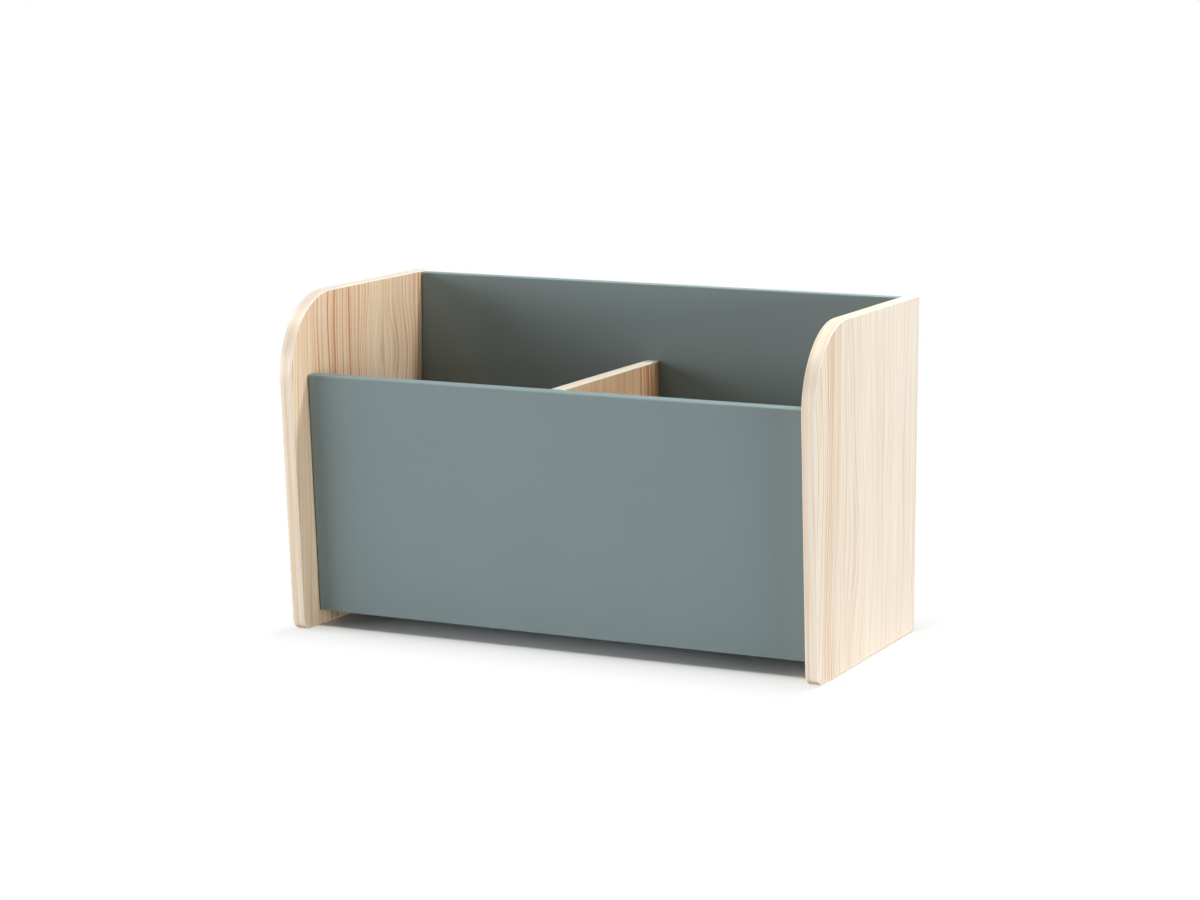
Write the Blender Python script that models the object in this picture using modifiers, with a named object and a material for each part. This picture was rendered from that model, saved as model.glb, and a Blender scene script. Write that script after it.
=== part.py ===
"""Toy chest for a child's room: open at the top, with two compartments side by side.

Two decor side panels stand on the floor and carry everything else. The front panel leans with their
sloped front edge, the back panel stands upright, and the bottom and the divider make the two
compartments. Every edge that shows is closed by a glued band. Cam locks draw the cross panels against
the sides, and wooden dowels locate the boards.

Metres, +Z up, +X to the right, the front faces -Y. The origin lies on the floor, under the middle of
the chest's box.
"""
import math
from collections import defaultdict
from dataclasses import dataclass

import bmesh
import bpy
from mathutils import Matrix, Vector

# Overall size
WIDTH = 0.800
DEPTH = 0.395
HEIGHT = 0.478

# Boards and their edging
BOARD = 0.019             # sides, front, bottom and divider
BACK_BOARD = 0.016        # back panel
BAND = 0.002              # glued edge band
EDGE_ROUND = 0.0015       # rounding of the bands' arrises and of the panels' ends
GAP = 0.0003              # glue lines, butt joints and the play round every fitting

# Side panel outline
LEAN = math.radians(4.1)  # slope of the front edge, shared by the front panel
TOP_CORNER = 0.112
TOE_CORNER = 0.018

# Cross panels
FRONT_SETBACK = 0.043     # sides' front edge to the front panel's face, measured level
FRONT_HEIGHT = 0.343      # measured up the lean
FLOOR_CLEARANCE = 0.022   # floor to the lower edges of the front and back panels
BACK_DROP = 0.002         # sides' top edge to the back panel's top edge
BOTTOM_RISE = 0.012       # lower edges of front and back to the bottom's underside

# Cam locks
CAM_BORE_RADIUS = 0.0075
CAM_FLOOR = 0.0008        # cam wall under the bolt head
CAM_SUNK = 0.0004         # cam face below the board's face
CAM_PLAY = 0.0005         # room round the bolt's head and neck inside the cam
DRIVE_LENGTH = 0.0090
DRIVE_WIDTH = 0.0016
DRIVE_DEPTH = 0.0012
CAM_INSET = 0.060         # front and back panels: lower and upper edge to the nearest cam
BOTTOM_CAM_INSET = 0.050  # bottom panel: front and rear edge to the nearest cam

# Cam bolts
BOLT_REACH = 0.034        # panel end to cam axis
BOLT_HEAD_RADIUS = 0.0032
BOLT_HEAD_LENGTH = 0.0044
BOLT_NECK_RADIUS = 0.0020
BOLT_SHAFT_RADIUS = 0.0034
BOLT_COLLAR_RADIUS = 0.0037
BOLT_COLLAR_LENGTH = 0.0030
BOLT_CHAMFER = 0.0008
THREAD_RADIUS = 0.0025
THREAD_LENGTH = 0.011     # bolt in the side panel

# Dowels
DOWEL_RADIUS = 0.004
DOWEL_LENGTH = 0.030
DOWEL_IN_FACE = 0.010     # length in the board that is met face on, the rest lies in an edge
DOWEL_CHAMFER = 0.001
PAIR_SHARES = (0.25, 0.75)  # where a pair of dowels lies along an edge of the divider

# Facets
ARC_STEP = math.radians(5.0)
ROUND_SEGMENTS = 2
BORE_SEGMENTS = 16
FITTING_SEGMENTS = 10
OVERCUT = 0.002           # how far a cutter stands out of the surface that it cuts
WELD = 0.00001
ROUND_LIMIT = 0.9         # most of a band's thickness that its rounding may take
FLAT_ANGLE = math.radians(0.2)
SHARP_ANGLE = math.radians(35)
ARRIS_ANGLE = math.radians(60)

SIDES = ((-1, "left"), (1, "right"))

# Places that follow from the sizes above
INNER_HALF = WIDTH / 2 - BOARD
PANEL_HALF = INNER_HALF - GAP
REAR = DEPTH / 2
LEAN_RUN = math.tan(LEAN)
FRONT_FOOT = -DEPTH / 2 + LEAN_RUN * (HEIGHT - TOP_CORNER) - TOP_CORNER * (1 / math.cos(LEAN) - 1)
TOE_END = FRONT_FOOT + TOE_CORNER / math.tan((math.pi / 2 + LEAN) / 2)
GLUE_FACE = BAND + GAP
BAND_ROUND = min(EDGE_ROUND, ROUND_LIMIT * BAND)
BOTTOM_UNDERSIDE = FLOOR_CLEARANCE + BOTTOM_RISE
BOTTOM_MIDDLE = BOTTOM_UNDERSIDE + BOARD / 2
BOTTOM_TOP = BOTTOM_UNDERSIDE + BOARD
BACK_INNER = REAR - BACK_BOARD
BACK_HEIGHT = HEIGHT - BACK_DROP - FLOOR_CLEARANCE
CAM_REACH = BOLT_HEAD_RADIUS + CAM_PLAY + CAM_FLOOR
BORE_RADIUS = {
    "cam": CAM_BORE_RADIUS,
    "bolt": BOLT_COLLAR_RADIUS + GAP,
    "thread": THREAD_RADIUS + GAP,
    "dowel": DOWEL_RADIUS + GAP,
}


def front_edge(z):
    """Where the sides' sloped front edge lies at a height, before its corners are rounded."""
    return FRONT_FOOT - LEAN_RUN * z


# The front panel's frame lies at its lower edge, in the middle of its thickness
FRONT_ORIGIN = Vector((
    0,
    front_edge(FLOOR_CLEARANCE) + FRONT_SETBACK + BOARD / 2 * math.cos(LEAN),
    FLOOR_CLEARANCE + BOARD / 2 * math.sin(LEAN),
))
FRONT_RIM = FLOOR_CLEARANCE + FRONT_HEIGHT * math.cos(LEAN) + BOARD * math.sin(LEAN)


def front_inner(z, clearance=0.0):
    """Where the front panel's inner face lies at a height, with a clearance square to that face."""
    level = (BOARD / 2 + clearance) / math.cos(LEAN)
    return FRONT_ORIGIN.y + level - LEAN_RUN * (z - FRONT_ORIGIN.z)


def front_climb(z):
    """How far up the lean the front panel's inner face reaches a height."""
    return (z - FRONT_ORIGIN.z - BOARD / 2 * math.sin(LEAN)) / math.cos(LEAN)


BOTTOM_FRONT = front_inner(BOTTOM_MIDDLE, GAP)
BOTTOM_DEPTH = BACK_INNER - GAP - BOTTOM_FRONT


@dataclass
class CrossPanel:
    """A board between the sides. In its frame X runs along it, Y to its cam face and Z up its height."""

    name: str
    frame: bpy.types.Object
    thickness: float
    cam_heights: dict
    dowel_height: float


def clear_scene():
    for old in list(bpy.data.objects):
        bpy.data.objects.remove(old)


def new_collection(name):
    collection = bpy.data.collections.new(name)
    bpy.context.scene.collection.children.link(collection)
    return collection


def new_finish(name, colour, roughness, metallic=0.0):
    finish = bpy.data.materials.new(name)
    finish.use_nodes = True
    shader = finish.node_tree.nodes["Principled BSDF"]
    shader.inputs["Base Color"].default_value = (*colour, 1.0)
    shader.inputs["Roughness"].default_value = roughness
    shader.inputs["Metallic"].default_value = metallic
    return finish


def dress(made, finish):
    made.data.materials.clear()
    made.data.materials.append(finish)


def soften(mesh):
    mesh.shade_smooth()
    mesh.set_sharp_from_angle(angle=SHARP_ANGLE)


def mesh_object(name, shape, collection):
    """An object from a bmesh, which is freed."""
    mesh = bpy.data.meshes.new(name)
    shape.to_mesh(mesh)
    shape.free()
    made = bpy.data.objects.new(name, mesh)
    collection.objects.link(made)
    return made


def evaluated_mesh(source):
    """The source's mesh with its modifiers, welded, with each flat face whole again."""
    bpy.context.view_layer.update()
    graph = bpy.context.evaluated_depsgraph_get()
    mesh = bpy.data.meshes.new_from_object(source.evaluated_get(graph))
    shape = bmesh.new()
    shape.from_mesh(mesh)
    bmesh.ops.remove_doubles(shape, verts=shape.verts, dist=WELD)
    bmesh.ops.dissolve_limit(shape, angle_limit=FLAT_ANGLE, verts=shape.verts, edges=shape.edges)
    bmesh.ops.recalc_face_normals(shape, faces=shape.faces)
    shape.to_mesh(mesh)
    shape.free()
    return mesh


def as_cutter(made):
    made.hide_render = True
    made.display_type = "WIRE"
    return made


def cut(target, cutter):
    boolean = target.modifiers.new(cutter.name, "BOOLEAN")
    boolean.operation = "DIFFERENCE"
    boolean.solver = "EXACT"
    boolean.object = cutter


def rounded_outline(corners):
    """Points of a polygon given by (y, z, radius), with an arc at each corner that has a radius."""
    points = []
    for index, (y, z, radius) in enumerate(corners):
        corner = Vector((y, z))
        if radius == 0:
            points.append(corner)
            continue
        back = (Vector(corners[index - 1][:2]) - corner).normalized()
        ahead = (Vector(corners[(index + 1) % len(corners)][:2]) - corner).normalized()
        half = back.angle(ahead) / 2
        centre = corner + (back + ahead).normalized() * radius / math.sin(half)
        spoke = corner + back * radius / math.tan(half) - centre
        turn = math.copysign(math.pi - 2 * half, ahead.cross(back))
        steps = math.ceil(abs(turn) / ARC_STEP)
        for step in range(steps + 1):
            points.append(centre + Matrix.Rotation(turn * step / steps, 2) @ spoke)
    return points


def side_outline(inset):
    """The side panel's outline from its rear foot to its rear top, drawn in all round by an inset."""
    front_shift = inset / math.cos(LEAN)
    low = inset
    high = HEIGHT - inset
    return rounded_outline([
        (REAR - inset, low, 0),
        (front_edge(low) + front_shift, low, TOE_CORNER - inset),
        (front_edge(high) + front_shift, high, TOP_CORNER - inset),
        (REAR - inset, high, 0),
    ])


def band_core_outline():
    """What the wrap band goes round: open to the foot behind the toe, and to the rear."""
    inner_run = side_outline(BAND)[1:-1]
    behind = REAR + OVERCUT
    foot = [Vector((behind, -OVERCUT)), Vector((TOE_END, -OVERCUT))]
    return foot + inner_run + [Vector((behind, HEIGHT - BAND))]


def outline_board(name, points, x_middle, thickness, collection):
    """A board whose outline lies in the YZ plane and whose thickness runs along X."""
    curve = bpy.data.curves.new(name, "CURVE")
    curve.dimensions = "2D"
    curve.fill_mode = "BOTH"
    curve.extrude = thickness / 2
    spline = curve.splines.new("POLY")
    spline.points.add(len(points) - 1)
    for spline_point, (y, z) in zip(spline.points, points):
        spline_point.co = (y, z, 0, 1)
    spline.use_cyclic_u = True
    drawn = bpy.data.objects.new(name + "_outline", curve)
    drawn.rotation_euler = (math.pi / 2, 0, math.pi / 2)
    drawn.location.x = x_middle
    collection.objects.link(drawn)
    board = bpy.data.objects.new(name, evaluated_mesh(drawn))
    board.matrix_world = drawn.matrix_world
    collection.objects.link(board)
    bpy.data.objects.remove(drawn)
    return board


def block(name, low, high, collection, rounded=(), radius=0.0):
    """A squared board between two corners. Edges that pass every test in rounded are rounded off."""
    low = Vector(low)
    high = Vector(high)
    shape = bmesh.new()
    bmesh.ops.create_cube(shape, size=1)
    bmesh.ops.scale(shape, vec=high - low, verts=shape.verts)
    bmesh.ops.translate(shape, vec=(low + high) / 2, verts=shape.verts)
    if rounded:
        round_edges(shape, rounded, radius)
    made = mesh_object(name, shape, collection)
    soften(made.data)
    return made


def round_edges(shape, tests, radius):
    edges = [edge for edge in shape.edges if all(test(edge) for test in tests)]
    bmesh.ops.bevel(
        shape, geom=edges, offset=radius, segments=ROUND_SEGMENTS, profile=0.5, affect="EDGES",
    )


def along(axis):
    """Tests that an edge runs along an axis (0 for X, 1 for Y, 2 for Z)."""
    def test(edge):
        run = edge.verts[1].co - edge.verts[0].co
        return abs(run[axis]) > 0.5 * run.length
    return test


def clear_of(axis, level):
    """Tests that an edge doesn't lie in the plane at a level of an axis, such as a band's glue face."""
    def test(edge):
        return any(abs(vert.co[axis] - level) > WELD for vert in edge.verts)
    return test


def turned(name, profile, collection):
    """The mesh of a turned fitting. Its profile (radius, z) runs from its top to its foot."""
    shape = bmesh.new()
    verts = [shape.verts.new((radius, 0, z)) for radius, z in profile]
    for start, end in zip(verts, verts[1:]):
        shape.edges.new((start, end))
    blank = mesh_object(name, shape, collection)
    screw = blank.modifiers.new("turn", "SCREW")
    screw.steps = FITTING_SEGMENTS
    screw.render_steps = FITTING_SEGMENTS
    screw.use_merge_vertices = True
    screw.merge_threshold = WELD
    mesh = evaluated_mesh(blank)
    bpy.data.objects.remove(blank)
    soften(mesh)
    return mesh


def bolt_mesh(collection):
    """Cam bolt: thread in the side, collar on its face, shaft, neck and head. Z=0 is the side's face."""
    head_top = GAP + BOLT_REACH + BOLT_HEAD_LENGTH / 2
    head_foot = head_top - BOLT_HEAD_LENGTH
    shoulder = BOLT_REACH - CAM_BORE_RADIUS
    collar_top = GAP + BOLT_COLLAR_LENGTH
    return turned("cam_bolt", [
        (0, head_top),
        (BOLT_HEAD_RADIUS - BOLT_CHAMFER, head_top),
        (BOLT_HEAD_RADIUS, head_top - BOLT_CHAMFER),
        (BOLT_HEAD_RADIUS, head_foot + BOLT_CHAMFER),
        (BOLT_NECK_RADIUS, head_foot),
        (BOLT_NECK_RADIUS, shoulder),
        (BOLT_SHAFT_RADIUS, shoulder - BOLT_CHAMFER),
        (BOLT_SHAFT_RADIUS, collar_top),
        (BOLT_COLLAR_RADIUS, collar_top),
        (BOLT_COLLAR_RADIUS, GAP),
        (THREAD_RADIUS, GAP),
        (THREAD_RADIUS, BOLT_CHAMFER - THREAD_LENGTH),
        (THREAD_RADIUS - BOLT_CHAMFER, -THREAD_LENGTH),
        (0, -THREAD_LENGTH),
    ], collection)


def dowel_mesh(collection):
    """Dowel. Z=0 is the face that it enters, with the stretch that lies in an edge above it."""
    top = DOWEL_LENGTH - DOWEL_IN_FACE
    return turned("dowel", [
        (0, top),
        (DOWEL_RADIUS - DOWEL_CHAMFER, top),
        (DOWEL_RADIUS, top - DOWEL_CHAMFER),
        (DOWEL_RADIUS, DOWEL_CHAMFER - DOWEL_IN_FACE),
        (DOWEL_RADIUS - DOWEL_CHAMFER, -DOWEL_IN_FACE),
        (0, -DOWEL_IN_FACE),
    ], collection)


def disc(name, radius, low, high, collection):
    """A round blank on the Z axis between two levels."""
    shape = bmesh.new()
    bmesh.ops.create_cone(
        shape, cap_ends=True, segments=BORE_SEGMENTS, radius1=radius, radius2=radius, depth=high - low,
        matrix=Matrix.Translation((0, 0, (low + high) / 2)),
    )
    return mesh_object(name, shape, collection)


def cam_mesh(thickness, collection):
    """Cam lock for a board of this thickness. Z=0 is the bolt's axis and the bolt comes in from -X.

    A slot half way round the rim lets the bolt's neck pass while the cam turns, a mouth at the slot's
    end lets the head in, and a pocket in the middle holds it. A cross in the face takes the driver.
    """
    radius = CAM_BORE_RADIUS - GAP
    face = thickness / 2 - CAM_SUNK
    reach = radius + OVERCUT
    neck = BOLT_NECK_RADIUS + CAM_PLAY
    head = BOLT_HEAD_RADIUS + CAM_PLAY
    mouth = BOLT_HEAD_RADIUS + CAM_PLAY / 2
    pocket = math.hypot(BOLT_HEAD_RADIUS, BOLT_HEAD_LENGTH / 2) + CAM_PLAY
    drive = Vector((DRIVE_LENGTH / 2, DRIVE_WIDTH / 2))

    cam = disc("cam_blank", radius, -CAM_REACH, face, collection)
    drive_floor = face - DRIVE_DEPTH
    drive_top = face + OVERCUT
    cutters = (
        block("cam_slot", (-reach, -reach, -neck), (0, reach, neck), collection),
        disc("cam_pocket", pocket, -head, head, collection),
        bores("cam_mouth", [(facing((0, 0, 0), (0, 1, 0)), radius)], mouth, collection),
        block("cam_drive", (-drive.x, -drive.y, drive_floor), (drive.x, drive.y, drive_top), collection),
        block("cam_cross", (-drive.y, -drive.x, drive_floor), (drive.y, drive.x, drive_top), collection),
    )
    for cutter in cutters:
        cut(cam, cutter)
    mesh = evaluated_mesh(cam)
    for spent in (cam, *cutters):
        bpy.data.objects.remove(spent)
    soften(mesh)
    return mesh


def facing(origin, direction):
    """A matrix at a point whose Z axis points in a direction."""
    return Matrix.Translation(origin) @ Vector(direction).to_track_quat("Z", "Y").to_matrix().to_4x4()


def bores(name, places, radius, collection):
    """A cutter of straight bores. Each place is a matrix on the bore's floor, Z to its mouth, and a depth."""
    half_facet = Matrix.Rotation(math.pi / BORE_SEGMENTS, 4, "Z")
    shape = bmesh.new()
    for matrix, depth in places:
        length = depth + OVERCUT
        bmesh.ops.create_cone(
            shape, cap_ends=True, segments=BORE_SEGMENTS, radius1=radius, radius2=radius, depth=length,
            matrix=matrix @ Matrix.Translation((0, 0, length / 2)) @ half_facet,
        )
    return as_cutter(mesh_object(name, shape, collection))


class Joinery:
    """Sets the fittings in place and gathers the bores that each board needs for them."""

    def __init__(self, parts, cutters):
        self.parts = parts
        self.cutters = cutters
        self.places = defaultdict(list)
        self.zinc = new_finish("zinc_die_casting", (0.52, 0.53, 0.54), 0.45, 1.0)
        self.steel = new_finish("zinc_plated_steel", (0.60, 0.60, 0.58), 0.35, 1.0)
        self.beech = new_finish("beech_dowel", (0.62, 0.44, 0.27), 0.65)
        self.bolt = bolt_mesh(parts)
        self.dowel = dowel_mesh(parts)
        self.cams = {thickness: cam_mesh(thickness, parts) for thickness in {BOARD, BACK_BOARD}}

    def fit(self, name, mesh, finish, frame, matrix):
        """Hangs one fitting on a panel's frame, at a place in that frame."""
        made = bpy.data.objects.new(name, mesh)
        self.parts.objects.link(made)
        made.parent = frame
        made.matrix_local = matrix
        dress(made, finish)

    def bore(self, board, kind, matrix, start, depth, mouth=1):
        """Notes a bore whose floor lies at a distance along a fitting's axis, its mouth up or down it."""
        turn = Matrix.Rotation(0 if mouth > 0 else math.pi, 4, "X")
        self.places[board, kind].append((matrix @ Matrix.Translation((0, 0, start)) @ turn, depth))

    def dowel_joint(self, name, frame, matrix, face_board, edge_board):
        """A dowel whose Z axis runs from one board's face into another's edge."""
        world = frame.matrix_world @ matrix
        in_edge = DOWEL_LENGTH - DOWEL_IN_FACE + GAP
        self.fit(name, self.dowel, self.beech, frame, matrix)
        self.bore(face_board, "dowel", world, -DOWEL_IN_FACE - GAP, DOWEL_IN_FACE + GAP)
        self.bore(edge_board, "dowel", world, in_edge, in_edge, mouth=-1)

    def cam_joint(self, panel, side, sign, place, height):
        """A cam in a cross panel's end, and its bolt in the side panel."""
        board = panel.name + "_panel"
        frame = panel.frame
        bolt = facing((sign * INNER_HALF, 0, height), (-sign, 0, 0))
        turn = Matrix(((-sign, 0, 0), (0, 0, 1), (0, sign, 0))).to_4x4()
        cam = Matrix.Translation((sign * (PANEL_HALF - BOLT_REACH), 0, height)) @ turn
        self.fit(f"{panel.name}_cam_lock_{side}_{place}", self.cams[panel.thickness], self.zinc, frame, cam)
        self.fit(f"{panel.name}_cam_bolt_{side}_{place}", self.bolt, self.steel, frame, bolt)

        seat = CAM_REACH + GAP
        in_panel = GAP + BOLT_REACH
        in_side = THREAD_LENGTH + GAP
        self.bore(board, "cam", frame.matrix_world @ cam, -seat, seat + panel.thickness / 2)
        self.bore(board, "bolt", frame.matrix_world @ bolt, in_panel, in_panel, mouth=-1)
        self.bore(side + "_side_panel", "thread", frame.matrix_world @ bolt, -in_side, in_side)

    def join_to_sides(self, panel):
        """A pair of cams and one dowel in each end of a cross panel."""
        for sign, side in SIDES:
            for place, height in panel.cam_heights.items():
                self.cam_joint(panel, side, sign, place, height)
            dowel = facing((sign * INNER_HALF, 0, panel.dowel_height), (-sign, 0, 0))
            self.dowel_joint(
                f"{panel.name}_dowel_{side}", panel.frame, dowel, side + "_side_panel", panel.name + "_panel",
            )

    def drill(self):
        """Cuts all the bores, one cutter for each kind of bore in a board."""
        for (board, kind), places in self.places.items():
            cutter = bores(f"{board}_{kind}_bores", places, BORE_RADIUS[kind], self.cutters)
            cut(bpy.data.objects[board], cutter)


def panel_frame(name, origin, turn, collection):
    """An empty that holds a cross panel and all that is fitted to it, turned about X."""
    frame = bpy.data.objects.new(name + "_frame", None)
    frame.location = origin
    frame.rotation_euler.x = turn
    frame.empty_display_size = BOARD
    collection.objects.link(frame)
    bpy.context.view_layer.update()
    return frame


def side_panel(label, sign, finish, edging, parts, cutters):
    """One side: the board, the band that wraps its front and top, and the bands at its back and foot."""
    middle = sign * (WIDTH - BOARD) / 2
    inner = middle - BOARD / 2
    outer = middle + BOARD / 2
    name = label + "_side_"
    board = outline_board(name + "panel", side_outline(GLUE_FACE), middle, BOARD, parts)

    wrap = outline_board(name + "wrap_band", side_outline(0), middle, BOARD, parts)
    arrises = wrap.modifiers.new("arrises", "BEVEL")
    arrises.width = BAND_ROUND
    arrises.segments = ROUND_SEGMENTS
    arrises.limit_method = "ANGLE"
    arrises.angle_limit = ARRIS_ANGLE
    core = outline_board(name + "band_core", band_core_outline(), middle, BOARD + 2 * OVERCUT, cutters)
    cut(wrap, as_cutter(core))

    back_band = block(
        name + "back_band", (inner, REAR - BAND, GLUE_FACE), (outer, REAR, HEIGHT - GLUE_FACE), parts,
        (along(2), clear_of(1, REAR - BAND)), BAND_ROUND,
    )
    foot_band = block(
        name + "foot_band", (inner, TOE_END + GAP, 0), (outer, REAR, BAND), parts,
        (along(1), clear_of(2, BAND)), BAND_ROUND,
    )
    dress(board, finish)
    for band in (wrap, back_band, foot_band):
        dress(band, edging)


def upright_panel(name, frame, thickness, height, finish, edging, parts):
    """The front or the back: a board with rounded ends and a band on its upper and lower edges."""
    half = thickness / 2
    board = block(
        name, (-PANEL_HALF, -half, GLUE_FACE), (PANEL_HALF, half, height - GLUE_FACE), parts,
        (along(2),), EDGE_ROUND,
    )
    top_band = block(
        name + "_top_band", (-PANEL_HALF, -half, height - BAND), (PANEL_HALF, half, height), parts,
        (clear_of(2, height - BAND),), BAND_ROUND,
    )
    bottom_band = block(
        name + "_bottom_band", (-PANEL_HALF, -half, 0), (PANEL_HALF, half, BAND), parts,
        (clear_of(2, BAND),), BAND_ROUND,
    )
    for piece, look in ((board, finish), (top_band, edging), (bottom_band, edging)):
        piece.parent = frame
        dress(piece, look)


def bottom_panel(finish, parts):
    """The bottom, its front edge sawn to the lean of the front panel."""
    rear = BACK_INNER - GAP
    section = [
        (front_inner(BOTTOM_UNDERSIDE, GAP), BOTTOM_UNDERSIDE),
        (rear, BOTTOM_UNDERSIDE),
        (rear, BOTTOM_TOP),
        (front_inner(BOTTOM_TOP, GAP), BOTTOM_TOP),
    ]
    dress(outline_board("bottom_panel", section, 0, 2 * PANEL_HALF, parts), finish)


def divider_stretch(name, low, high, parts):
    """A stretch of the divider between two heights, from the front panel to the back panel."""
    rear = BACK_INNER - GAP
    outline = [
        (front_inner(low, GAP), low),
        (rear, low),
        (rear, high),
        (front_inner(high, GAP), high),
    ]
    return outline_board(name, outline, 0, BOARD, parts)


def divider(finish, edging, parts):
    """The divider, level with the front panel's rim, and the band on its top edge."""
    board = divider_stretch("divider_panel", BOTTOM_TOP + GAP, FRONT_RIM - GLUE_FACE, parts)
    band = divider_stretch("divider_top_band", FRONT_RIM - BAND, FRONT_RIM, parts)
    shape = bmesh.new()
    shape.from_mesh(band.data)
    # The outline's own axes stand for depth, height and thickness
    round_edges(shape, (along(0), clear_of(1, FRONT_RIM - BAND)), BAND_ROUND)
    shape.to_mesh(band.data)
    shape.free()
    dress(board, finish)
    dress(band, edging)


def join_divider_and_bottom(joinery, front, back, bottom):
    """Dowel pairs between the divider and its neighbours, and between the bottom and front and back."""
    front_face = front.thickness / 2
    back_face = -back.thickness / 2
    inward = Vector((0, 1, 0))
    climb = FRONT_RIM - BOTTOM_TOP
    for place, share in zip(("low", "high"), PAIR_SHARES):
        z = BOTTOM_TOP + share * climb
        joinery.dowel_joint(
            "divider_front_dowel_" + place, front.frame,
            facing((0, front_face, front_climb(z)), inward), "front_panel", "divider_panel",
        )
        joinery.dowel_joint(
            "divider_back_dowel_" + place, back.frame,
            facing((0, back_face, z - FLOOR_CLEARANCE), -inward), "back_panel", "divider_panel",
        )
    for place, share in zip(("front", "rear"), PAIR_SHARES):
        joinery.dowel_joint(
            "divider_bottom_dowel_" + place, bottom.frame,
            facing((0, -BOARD / 2, share * BOTTOM_DEPTH), -inward), "bottom_panel", "divider_panel",
        )
    for sign, side in SIDES:
        x = sign * PANEL_HALF / 2
        joinery.dowel_joint(
            "bottom_front_dowel_" + side, front.frame,
            facing((x, front_face, front_climb(BOTTOM_MIDDLE)), inward), "front_panel", "bottom_panel",
        )
        joinery.dowel_joint(
            "bottom_back_dowel_" + side, back.frame,
            facing((x, back_face, BOTTOM_MIDDLE - FLOOR_CLEARANCE), -inward), "back_panel", "bottom_panel",
        )


def main():
    clear_scene()
    parts = new_collection("toy_chest")
    cutters = new_collection("toy_chest_cutters")
    decor = new_finish("larch_decor_board", (0.80, 0.65, 0.47), 0.45)
    decor_band = new_finish("larch_decor_edging", (0.84, 0.70, 0.53), 0.40)
    green = new_finish("grey_green_board", (0.16, 0.22, 0.21), 0.50)
    green_band = new_finish("grey_green_edging", (0.19, 0.25, 0.24), 0.45)

    front = CrossPanel(
        "front", panel_frame("front_panel", FRONT_ORIGIN, LEAN, parts), BOARD,
        {"low": CAM_INSET, "high": FRONT_HEIGHT - CAM_INSET}, FRONT_HEIGHT / 2,
    )
    back_origin = (0, REAR - BACK_BOARD / 2, FLOOR_CLEARANCE)
    back = CrossPanel(
        "back", panel_frame("back_panel", back_origin, 0, parts), BACK_BOARD,
        {"low": CAM_INSET, "high": BACK_HEIGHT - CAM_INSET}, BACK_HEIGHT / 2,
    )
    bottom_origin = (0, BOTTOM_FRONT, BOTTOM_MIDDLE)
    bottom = CrossPanel(
        "bottom", panel_frame("bottom_panel", bottom_origin, -math.pi / 2, parts), BOARD,
        {"front": BOTTOM_CAM_INSET, "rear": BOTTOM_DEPTH - BOTTOM_CAM_INSET}, BOTTOM_DEPTH / 2,
    )

    for sign, label in SIDES:
        side_panel(label, sign, decor, decor_band, parts, cutters)
    upright_panel("front_panel", front.frame, BOARD, FRONT_HEIGHT, green, green_band, parts)
    upright_panel("back_panel", back.frame, BACK_BOARD, BACK_HEIGHT, green, green_band, parts)
    bottom_panel(green, parts)
    divider(decor, decor_band, parts)

    joinery = Joinery(parts, cutters)
    for panel in (front, back, bottom):
        joinery.join_to_sides(panel)
    join_divider_and_bottom(joinery, front, back, bottom)
    joinery.drill()


main()
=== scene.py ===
"""Looks of the toy chest: fine surfaces and finishes on its boards, edging and fittings.

Laid out as a Blender add-on. The edges, colours and studio are properties in the 3D view's sidebar, and
each group of like pieces has an operator that makes it. Metres, +Z up, the front faces -Y.
"""
import math
from collections import defaultdict
from dataclasses import dataclass
from functools import partial

import bmesh
import bpy
from bpy.props import FloatProperty, FloatVectorProperty, PointerProperty
from bpy.types import Node, NodeSocket, Operator, Panel, PropertyGroup
from mathutils import Matrix, Vector


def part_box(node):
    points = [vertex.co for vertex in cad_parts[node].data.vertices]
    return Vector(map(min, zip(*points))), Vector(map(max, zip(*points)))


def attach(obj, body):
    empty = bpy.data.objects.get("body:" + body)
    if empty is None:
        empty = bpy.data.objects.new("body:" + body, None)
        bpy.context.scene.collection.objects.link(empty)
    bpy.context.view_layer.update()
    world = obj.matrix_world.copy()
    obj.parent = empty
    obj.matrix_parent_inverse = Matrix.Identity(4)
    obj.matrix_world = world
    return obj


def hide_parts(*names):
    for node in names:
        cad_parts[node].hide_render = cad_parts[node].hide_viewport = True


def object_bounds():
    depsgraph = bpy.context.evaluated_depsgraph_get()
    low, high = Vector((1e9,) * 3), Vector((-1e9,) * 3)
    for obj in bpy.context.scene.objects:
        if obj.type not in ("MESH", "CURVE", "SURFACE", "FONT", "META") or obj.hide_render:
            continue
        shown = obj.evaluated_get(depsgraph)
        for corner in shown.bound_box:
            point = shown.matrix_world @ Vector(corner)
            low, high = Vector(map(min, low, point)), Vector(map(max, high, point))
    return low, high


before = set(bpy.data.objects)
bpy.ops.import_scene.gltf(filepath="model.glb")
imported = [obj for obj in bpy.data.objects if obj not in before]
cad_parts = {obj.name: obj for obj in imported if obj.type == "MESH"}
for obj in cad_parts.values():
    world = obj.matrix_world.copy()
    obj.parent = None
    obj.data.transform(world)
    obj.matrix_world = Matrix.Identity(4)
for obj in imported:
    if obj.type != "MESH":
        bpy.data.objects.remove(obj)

bl_info = {
    "name": "Toy Chest Looks",
    "version": (1, 0, 0),
    "blender": (4, 5, 0),
    "location": "View3D > Sidebar > Toy Chest",
    "description": "Dresses a knock-down toy chest in its boards, edging and fittings",
    "category": "Object",
}

CAD_LOW, CAD_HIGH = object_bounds()
CAD_MIDDLE = (CAD_LOW + CAD_HIGH) / 2
BODY = "root"
SIDES = ("left", "right")
MM = 0.001

# Facets of the fine surfaces, how closely points agree and how far a cutter reaches past a face
ARC_STEP = math.radians(1.5)
ROUND_SEGMENTS = 6
BORE_SEGMENTS = 40
SHARP_ANGLE = math.radians(35)
TOLERANCE = 0.01 * MM
OVERCUT = 2 * MM


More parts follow.
